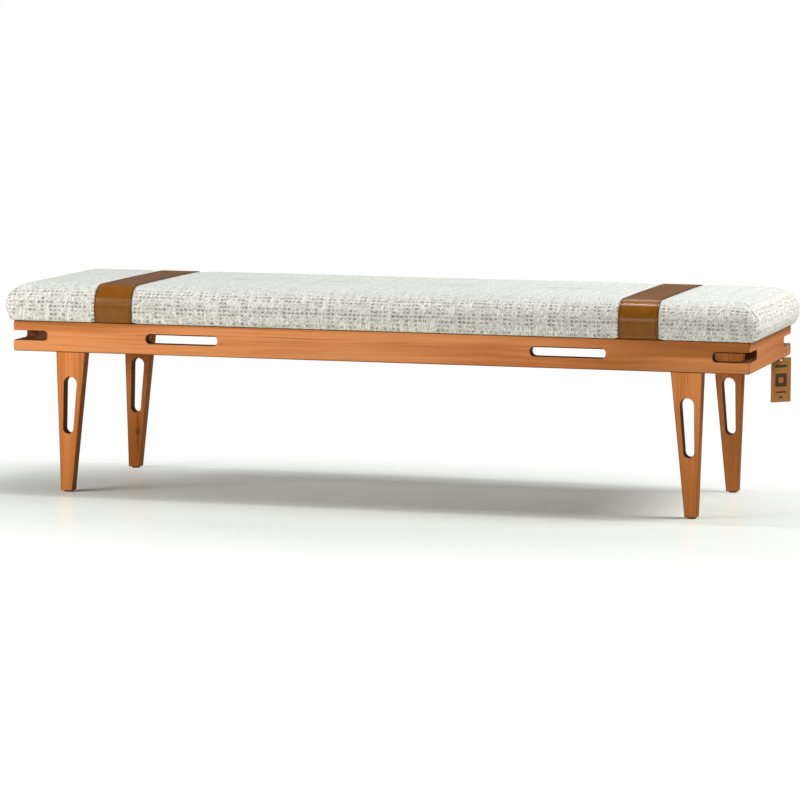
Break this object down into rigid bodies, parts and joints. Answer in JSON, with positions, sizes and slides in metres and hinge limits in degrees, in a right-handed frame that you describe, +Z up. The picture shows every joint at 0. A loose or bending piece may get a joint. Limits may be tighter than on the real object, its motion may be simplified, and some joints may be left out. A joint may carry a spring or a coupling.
{
  "type": "upholstered bench",
  "caption": "Long backless bench with a fabric seat pad held by leather straps on a mitred, slotted wooden frame with tapered, slotted legs.",
  "frame": {"origin": "on the floor, under the middle of the bench", "axes": "+X along the bench to its right end, +Y to its back, +Z up"},
  "size_m": [1.849, 0.5314, 0.5033],
  "materials": {
    "frame_wood": "satin oiled",
    "inner_wood": "planed, unfinished",
    "plywood": "sanded, unfinished",
    "foam": "open-cell foam",
    "tweed": "woven, matte",
    "strap_leather": "semi-matte, smooth",
    "screw_steel": "zinc plated",
    "glide_plastic": "moulded",
    "tag_card": "uncoated",
    "tag_twine": "twisted yarn"
  },
  "bodies": {
    "bench": {"back_rail": "frame_wood", "front_rail": "frame_wood", "glide_back_left": "glide_plastic", "glide_back_right": "glide_plastic", "glide_front_left": "glide_plastic", "glide_front_right": "glide_plastic", "left_end_rail": "frame_wood", "leg_back_left": "frame_wood", "leg_back_right": "frame_wood", "leg_front_left": "frame_wood", "leg_front_right": "frame_wood", "mitre_key_back_left_lower": "inner_wood", "mitre_key_back_left_upper": "inner_wood", "mitre_key_back_right_lower": "inner_wood", "mitre_key_back_right_upper": "inner_wood", "mitre_key_front_left_lower": "inner_wood", "mitre_key_front_left_upper": "inner_wood", "mitre_key_front_right_lower": "inner_wood", "mitre_key_front_right_upper": "inner_wood", "right_end_rail": "frame_wood", "seat_batten_1": "inner_wood", "seat_batten_2": "inner_wood", "seat_batten_3": "inner_wood", "seat_batten_4": "inner_wood", "seat_batten_5": "inner_wood", "seat_board": "plywood", "seat_cover": "tweed", "seat_foam": "foam", "seat_screw_1": "screw_steel", "seat_screw_10": "screw_steel", "seat_screw_2": "screw_steel", "seat_screw_3": "screw_steel", "seat_screw_4": "screw_steel", "seat_screw_5": "screw_steel", "seat_screw_6": "screw_steel", "seat_screw_7": "screw_steel", "seat_screw_8": "screw_steel", "seat_screw_9": "screw_steel", "strap_left": "strap_leather", "strap_right": "strap_leather", "tag_string": "tag_twine", "tenon_back_left": "inner_wood", "tenon_back_right": "inner_wood", "tenon_front_left": "inner_wood", "tenon_front_right": "inner_wood"},
    "tag": {"hang_tag": "tag_card"}
  },
  "joints": [
    {"name": "tag_swing", "type": "hinge", "parent": "bench", "child": "tag", "pos_m": [0.886, 0.205, 0.3288], "axis": [0.7431, 0.6691, 0], "range_deg": [-15, 15]}
  ]
}
